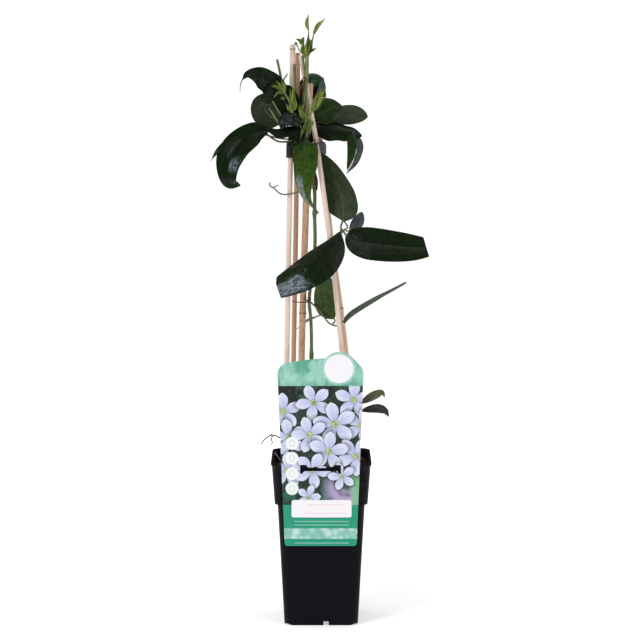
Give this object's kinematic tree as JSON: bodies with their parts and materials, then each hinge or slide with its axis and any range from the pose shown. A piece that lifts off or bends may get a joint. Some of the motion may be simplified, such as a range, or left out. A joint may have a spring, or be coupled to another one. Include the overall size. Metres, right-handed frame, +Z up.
{
  "type": "potted climbing plant",
  "caption": "Young evergreen climber led up bamboo canes gathered in a clip, with glossy leaves and fresh shoots, in a tall square pot with a hanging label.",
  "frame": {"origin": "middle of the pot's flat base, on the ground", "axes": "+Z up along the canes, -Y the front, where the label hangs, +X to the viewer's right"},
  "size_m": [0.2413, 0.1144, 0.6841],
  "materials": {
    "pot_plastic": "black injection-moulded plastic, slight sheen",
    "compost": null,
    "cane_pale": "dry bamboo, pale",
    "cane_tan": "dry bamboo, tan",
    "cane_brown": "dry bamboo, brown with specks",
    "clip_plastic": "black plastic",
    "label_card": "printed plastic sheet, semi-gloss",
    "leaf_dark": null,
    "leaf_olive": null,
    "leaf_bright": null,
    "shoot_green": null,
    "stem_green": "green woody stem",
    "dried_brown": "dried brown stalk"
  },
  "bodies": {
    "root": {"pot": "pot_plastic", "soil": "compost", "cane_front_left": "cane_pale", "cane_back_left": "cane_tan", "cane_centre": "cane_brown", "cane_front_right": "cane_pale", "cane_back_right": "cane_tan", "cane_clip": "clip_plastic", "label": "label_card", "stem_main": "stem_green", "leaf_left_high": "leaf_dark", "leaf_left_rear": "leaf_olive", "leaf_left_low": "leaf_dark", "leaf_left_tip": "leaf_dark", "leaf_left_front": "leaf_dark", "leaf_right_high": "leaf_dark", "leaf_right_middle": "leaf_dark", "leaf_right_rear": "leaf_olive", "leaf_right_low": "leaf_dark", "leaf_centre": "leaf_bright", "leaf_side": "leaf_olive", "leaf_low": "leaf_olive", "shoot_leader": "shoot_green", "shoot_left": "shoot_green", "shoot_right": "shoot_green", "stub_left": "stem_green", "stub_upright": "stem_green", "tendril_upper": "stem_green", "tendril_node": "dried_brown", "shoot_low": "leaf_dark", "stalk_dried": "dried_brown"}
  },
  "joints": []
}
